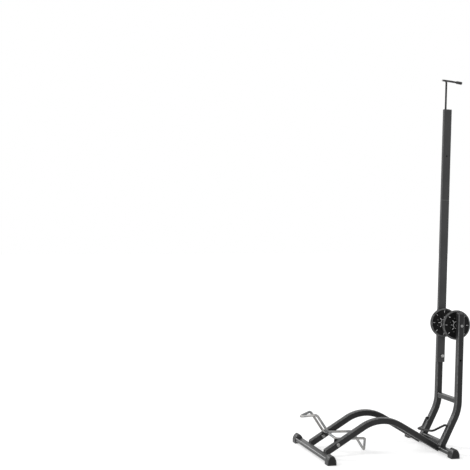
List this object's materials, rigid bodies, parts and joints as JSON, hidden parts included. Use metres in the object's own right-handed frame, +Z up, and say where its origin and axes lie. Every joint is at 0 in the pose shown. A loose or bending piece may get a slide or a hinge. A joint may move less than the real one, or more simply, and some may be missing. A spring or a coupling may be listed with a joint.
{
  "type": "bicycle floor rack",
  "caption": "Tubular steel floor rack that holds a bicycle level between arched rails or upright against a post with a wheel hook.",
  "frame": {"origin": "middle of the footprint's bounding box, on the floor", "axes": "+X is the way the wheel rolls in, towards the post; +Y is the rack's left, the post's side; +Z is up"},
  "size_m": [0.705, 0.46, 1.5181],
  "materials": {
    "grey_paint": "dark grey powder coat, satin",
    "black_bar": "black powder coat, satin",
    "bright_zinc": "bright zinc plate",
    "black_plastic": "moulded black, fine matt",
    "steel": "zinc-plated fasteners"
  },
  "bodies": {
    "frame": {"arch_rail_left": "grey_paint", "arch_rail_right": "grey_paint", "disc_bolt_left": "steel", "disc_bolt_right": "steel", "disc_nut_left": "steel", "disc_nut_right": "steel", "disc_spacer_right": "steel", "front_cap_left": "black_plastic", "front_cap_right": "black_plastic", "front_crossbar": "grey_paint", "hook_bush": "black_plastic", "joiner_screw_lower": "steel", "joiner_screw_upper": "steel", "lower_brace": "grey_paint", "pivot_bolt_left": "bright_zinc", "pivot_bolt_right": "bright_zinc", "pivot_nut_left": "bright_zinc", "pivot_nut_right": "bright_zinc", "pivot_washer_left": "bright_zinc", "pivot_washer_right": "bright_zinc", "post_bolt": "steel", "post_foot_plug": "black_plastic", "post_joiner": "steel", "post_lower": "grey_paint", "post_nut": "steel", "post_upper": "grey_paint", "rear_cap_left": "black_plastic", "rear_cap_right": "black_plastic", "rear_crossbar": "grey_paint", "upper_brace": "grey_paint", "upright_left": "grey_paint", "upright_plug_left": "black_plastic", "upright_plug_right": "black_plastic", "upright_right": "grey_paint", "wheel_stop": "black_bar"},
    "cradle": {"wheel_cradle": "bright_zinc", "cradle_lug_left": "grey_paint", "cradle_lug_right": "grey_paint"},
    "disc_left": {"guide_disc_left": "black_plastic", "disc_bush_left": "steel"},
    "disc_right": {"guide_disc_right": "black_plastic", "disc_bush_right": "steel"},
    "hook": {"wheel_hook": "black_bar", "hook_sleeve": "black_plastic"}
  },
  "joints": [
    {"name": "cradle_pivot", "type": "hinge", "parent": "frame", "child": "cradle", "pos_m": [-0.22916, 0, 0.0505], "axis": [0, -1, 0], "range_deg": [0, 45]},
    {"name": "disc_left_spin", "type": "hinge", "parent": "frame", "child": "disc_left", "pos_m": [0.29264, 0.0582, 0.50275], "axis": [0, 1, 0], "continuous": true},
    {"name": "disc_right_spin", "type": "hinge", "parent": "frame", "child": "disc_right", "pos_m": [0.29264, -0.0582, 0.50275], "axis": [0, 1, 0], "continuous": true},
    {"name": "hook_swivel", "type": "hinge", "parent": "frame", "child": "hook", "pos_m": [0.30734, 0.0732, 1.39073], "axis": [0.0314, 0, 0.9995], "range_deg": [-90, 90]}
  ]
}
